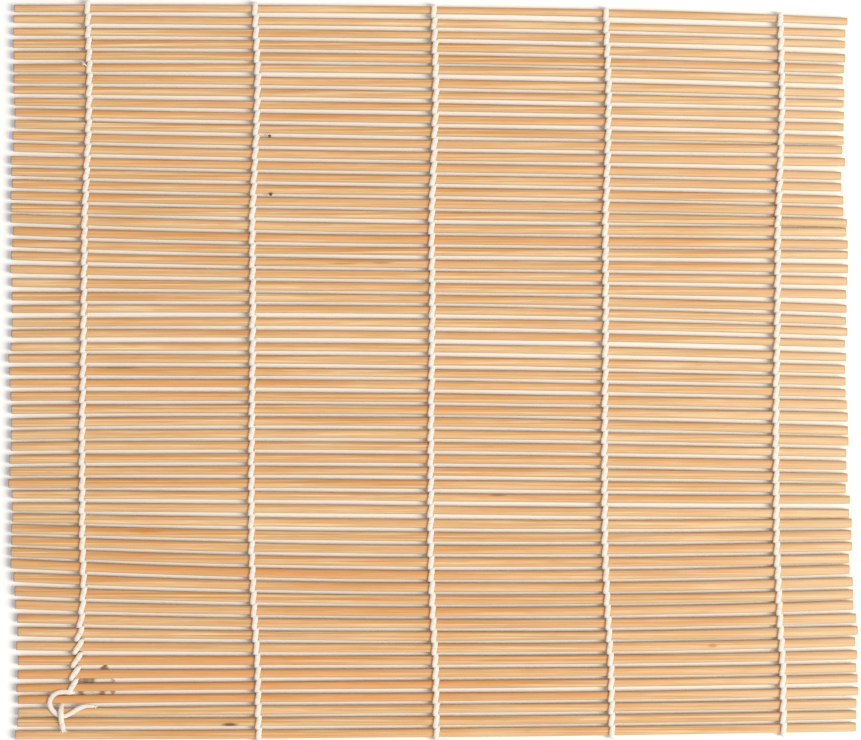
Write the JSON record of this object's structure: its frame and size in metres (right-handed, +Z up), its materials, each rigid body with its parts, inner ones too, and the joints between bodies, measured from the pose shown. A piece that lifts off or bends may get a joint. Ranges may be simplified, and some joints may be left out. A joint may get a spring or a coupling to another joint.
{
  "type": "sushi rolling mat",
  "caption": "Sushi rolling mat of flat bamboo slats twined together with five rows of cotton twine; it rolls up along its slats.",
  "frame": {"origin": "middle of the open mat, on the table it lies on", "axes": "+X along the slats, +Y along the rows of twine away from the knotted edge, +Z up"},
  "size_m": [0.2439, 0.213, 0.0044],
  "materials": {
    "bamboo": "satin",
    "cotton": "matte"
  },
  "bodies": {
    "edge_strip": {"edge_slats": "bamboo", "edge_twine": "cotton", "tie_strand": "cotton", "loose_end": "cotton"},
    "strip_01": {"slat_pair_01": "bamboo", "twine_wraps_01": "cotton"},
    "strip_02": {"slat_pair_02": "bamboo", "twine_wraps_02": "cotton"},
    "strip_03": {"slat_pair_03": "bamboo", "twine_wraps_03": "cotton"},
    "strip_04": {"slat_pair_04": "bamboo", "twine_wraps_04": "cotton"},
    "strip_05": {"slat_pair_05": "bamboo", "twine_wraps_05": "cotton"},
    "strip_06": {"slat_pair_06": "bamboo", "twine_wraps_06": "cotton"},
    "strip_07": {"slat_pair_07": "bamboo", "twine_wraps_07": "cotton"},
    "strip_08": {"slat_pair_08": "bamboo", "twine_wraps_08": "cotton"},
    "strip_09": {"slat_pair_09": "bamboo", "twine_wraps_09": "cotton"},
    "strip_10": {"slat_pair_10": "bamboo", "twine_wraps_10": "cotton"},
    "strip_11": {"slat_pair_11": "bamboo", "twine_wraps_11": "cotton"},
    "strip_12": {"slat_pair_12": "bamboo", "twine_wraps_12": "cotton"},
    "strip_13": {"slat_pair_13": "bamboo", "twine_wraps_13": "cotton"},
    "strip_14": {"slat_pair_14": "bamboo", "twine_wraps_14": "cotton"},
    "strip_15": {"slat_pair_15": "bamboo", "twine_wraps_15": "cotton"},
    "strip_16": {"slat_pair_16": "bamboo", "twine_wraps_16": "cotton"},
    "strip_17": {"slat_pair_17": "bamboo", "twine_wraps_17": "cotton"},
    "strip_18": {"slat_pair_18": "bamboo", "twine_wraps_18": "cotton"},
    "strip_19": {"slat_pair_19": "bamboo", "twine_wraps_19": "cotton"},
    "strip_20": {"slat_pair_20": "bamboo", "twine_wraps_20": "cotton"},
    "strip_21": {"slat_pair_21": "bamboo", "twine_wraps_21": "cotton"},
    "strip_22": {"slat_pair_22": "bamboo", "twine_wraps_22": "cotton"},
    "strip_23": {"slat_pair_23": "bamboo", "twine_wraps_23": "cotton"},
    "strip_24": {"slat_pair_24": "bamboo", "twine_wraps_24": "cotton"},
    "strip_25": {"slat_pair_25": "bamboo", "twine_wraps_25": "cotton"},
    "strip_26": {"slat_pair_26": "bamboo", "twine_wraps_26": "cotton"},
    "strip_27": {"slat_pair_27": "bamboo", "twine_wraps_27": "cotton"},
    "strip_28": {"slat_pair_28": "bamboo", "twine_wraps_28": "cotton"}
  },
  "joints": [
    {"name": "bend_01", "type": "hinge", "parent": "edge_strip", "child": "strip_01", "pos_m": [0, -0.09086, 0.00164], "axis": [1, 0.0097, 0], "range_deg": [0, 15.8]},
    {"name": "bend_02", "type": "hinge", "parent": "strip_01", "child": "strip_02", "pos_m": [0, -0.08385, 0.00164], "axis": [1, 0.0077, 0], "range_deg": [0, 15.95]},
    {"name": "bend_03", "type": "hinge", "parent": "strip_02", "child": "strip_03", "pos_m": [0, -0.07674, 0.00164], "axis": [1, 0.0058, 0], "range_deg": [0, 16.11]},
    {"name": "bend_04", "type": "hinge", "parent": "strip_03", "child": "strip_04", "pos_m": [0, -0.06962, 0.00164], "axis": [1, 0.0039, 0], "range_deg": [0, 16.27]},
    {"name": "bend_05", "type": "hinge", "parent": "strip_04", "child": "strip_05", "pos_m": [0, -0.06251, 0.00164], "axis": [1, 0.0019, 0], "range_deg": [0, 16.43]},
    {"name": "bend_06", "type": "hinge", "parent": "strip_05", "child": "strip_06", "pos_m": [0, -0.05537, 0.00164], "axis": [1, 0, 0], "range_deg": [0, 16.6]},
    {"name": "bend_07", "type": "hinge", "parent": "strip_06", "child": "strip_07", "pos_m": [0, -0.04824, 0.00164], "axis": [1, -0.002, 0], "range_deg": [0, 16.77]},
    {"name": "bend_08", "type": "hinge", "parent": "strip_07", "child": "strip_08", "pos_m": [0, -0.0411, 0.00164], "axis": [1, -0.0039, 0], "range_deg": [0, 16.95]},
    {"name": "bend_09", "type": "hinge", "parent": "strip_08", "child": "strip_09", "pos_m": [0, -0.03401, 0.00164], "axis": [1, -0.0058, 0], "range_deg": [0, 17.14]},
    {"name": "bend_10", "type": "hinge", "parent": "strip_09", "child": "strip_10", "pos_m": [0, -0.02692, 0.00164], "axis": [1, -0.0078, 0], "range_deg": [0, 17.33]},
    {"name": "bend_11", "type": "hinge", "parent": "strip_10", "child": "strip_11", "pos_m": [0, -0.01983, 0.00164], "axis": [1, -0.0097, 0], "range_deg": [0, 17.52]},
    {"name": "bend_12", "type": "hinge", "parent": "strip_11", "child": "strip_12", "pos_m": [0, -0.01276, 0.00164], "axis": [0.9999, -0.0116, 0], "range_deg": [0, 17.73]},
    {"name": "bend_13", "type": "hinge", "parent": "strip_12", "child": "strip_13", "pos_m": [0, -0.0057, 0.00164], "axis": [0.9999, -0.0136, 0], "range_deg": [0, 17.94]},
    {"name": "bend_14", "type": "hinge", "parent": "strip_13", "child": "strip_14", "pos_m": [0, 0.00136, 0.00164], "axis": [0.9999, -0.014, 0], "range_deg": [0, 18.16]},
    {"name": "bend_15", "type": "hinge", "parent": "strip_14", "child": "strip_15", "pos_m": [0, 0.00842, 0.00164], "axis": [0.9999, -0.0144, 0], "range_deg": [0, 18.39]},
    {"name": "bend_16", "type": "hinge", "parent": "strip_15", "child": "strip_16", "pos_m": [0, 0.01543, 0.00164], "axis": [0.9999, -0.0148, 0], "range_deg": [0, 18.63]},
    {"name": "bend_17", "type": "hinge", "parent": "strip_16", "child": "strip_17", "pos_m": [0, 0.02244, 0.00164], "axis": [0.9999, -0.0151, 0], "range_deg": [0, 18.87]},
    {"name": "bend_18", "type": "hinge", "parent": "strip_17", "child": "strip_18", "pos_m": [0, 0.02942, 0.00164], "axis": [0.9999, -0.0155, 0], "range_deg": [0, 19.13]},
    {"name": "bend_19", "type": "hinge", "parent": "strip_18", "child": "strip_19", "pos_m": [0, 0.03635, 0.00164], "axis": [0.9999, -0.0159, 0], "range_deg": [0, 19.4]},
    {"name": "bend_20", "type": "hinge", "parent": "strip_19", "child": "strip_20", "pos_m": [0, 0.04328, 0.00164], "axis": [0.9999, -0.0163, 0], "range_deg": [0, 19.68]},
    {"name": "bend_21", "type": "hinge", "parent": "strip_20", "child": "strip_21", "pos_m": [0, 0.0501, 0.00164], "axis": [0.9999, -0.0167, 0], "range_deg": [0, 19.97]},
    {"name": "bend_22", "type": "hinge", "parent": "strip_21", "child": "strip_22", "pos_m": [0, 0.05692, 0.00164], "axis": [0.9999, -0.017, 0], "range_deg": [0, 20.27]},
    {"name": "bend_23", "type": "hinge", "parent": "strip_22", "child": "strip_23", "pos_m": [0, 0.06374, 0.00164], "axis": [0.9998, -0.0174, 0], "range_deg": [0, 20.59]},
    {"name": "bend_24", "type": "hinge", "parent": "strip_23", "child": "strip_24", "pos_m": [0, 0.07059, 0.00164], "axis": [0.9998, -0.0178, 0], "range_deg": [0, 20.92]},
    {"name": "bend_25", "type": "hinge", "parent": "strip_24", "child": "strip_25", "pos_m": [0, 0.07744, 0.00164], "axis": [0.9998, -0.0182, 0], "range_deg": [0, 21.27]},
    {"name": "bend_26", "type": "hinge", "parent": "strip_25", "child": "strip_26", "pos_m": [0, 0.08429, 0.00164], "axis": [0.9998, -0.0186, 0], "range_deg": [0, 21.64]},
    {"name": "bend_27", "type": "hinge", "parent": "strip_26", "child": "strip_27", "pos_m": [0, 0.09111, 0.00164], "axis": [0.9998, -0.019, 0], "range_deg": [0, 22.03]},
    {"name": "bend_28", "type": "hinge", "parent": "strip_27", "child": "strip_28", "pos_m": [0, 0.09793, 0.00164], "axis": [0.9998, -0.0193, 0], "range_deg": [0, 22.45]}
  ],
  "couplings": [
    {"joint": "bend_02", "follows": "bend_01", "ratio": 1.0095},
    {"joint": "bend_03", "follows": "bend_01", "ratio": 1.0192},
    {"joint": "bend_04", "follows": "bend_01", "ratio": 1.0292},
    {"joint": "bend_05", "follows": "bend_01", "ratio": 1.0396},
    {"joint": "bend_06", "follows": "bend_01", "ratio": 1.0502},
    {"joint": "bend_07", "follows": "bend_01", "ratio": 1.0612},
    {"joint": "bend_08", "follows": "bend_01", "ratio": 1.0726},
    {"joint": "bend_09", "follows": "bend_01", "ratio": 1.0843},
    {"joint": "bend_10", "follows": "bend_01", "ratio": 1.0964},
    {"joint": "bend_11", "follows": "bend_01", "ratio": 1.1089},
    {"joint": "bend_12", "follows": "bend_01", "ratio": 1.1219},
    {"joint": "bend_13", "follows": "bend_01", "ratio": 1.1353},
    {"joint": "bend_14", "follows": "bend_01", "ratio": 1.1492},
    {"joint": "bend_15", "follows": "bend_01", "ratio": 1.1636},
    {"joint": "bend_16", "follows": "bend_01", "ratio": 1.1786},
    {"joint": "bend_17", "follows": "bend_01", "ratio": 1.1942},
    {"joint": "bend_18", "follows": "bend_01", "ratio": 1.2105},
    {"joint": "bend_19", "follows": "bend_01", "ratio": 1.2274},
    {"joint": "bend_20", "follows": "bend_01", "ratio": 1.245},
    {"joint": "bend_21", "follows": "bend_01", "ratio": 1.2634},
    {"joint": "bend_22", "follows": "bend_01", "ratio": 1.2827},
    {"joint": "bend_23", "follows": "bend_01", "ratio": 1.3029},
    {"joint": "bend_24", "follows": "bend_01", "ratio": 1.324},
    {"joint": "bend_25", "follows": "bend_01", "ratio": 1.3462},
    {"joint": "bend_26", "follows": "bend_01", "ratio": 1.3696},
    {"joint": "bend_27", "follows": "bend_01", "ratio": 1.3943},
    {"joint": "bend_28", "follows": "bend_01", "ratio": 1.4203}
  ]
}
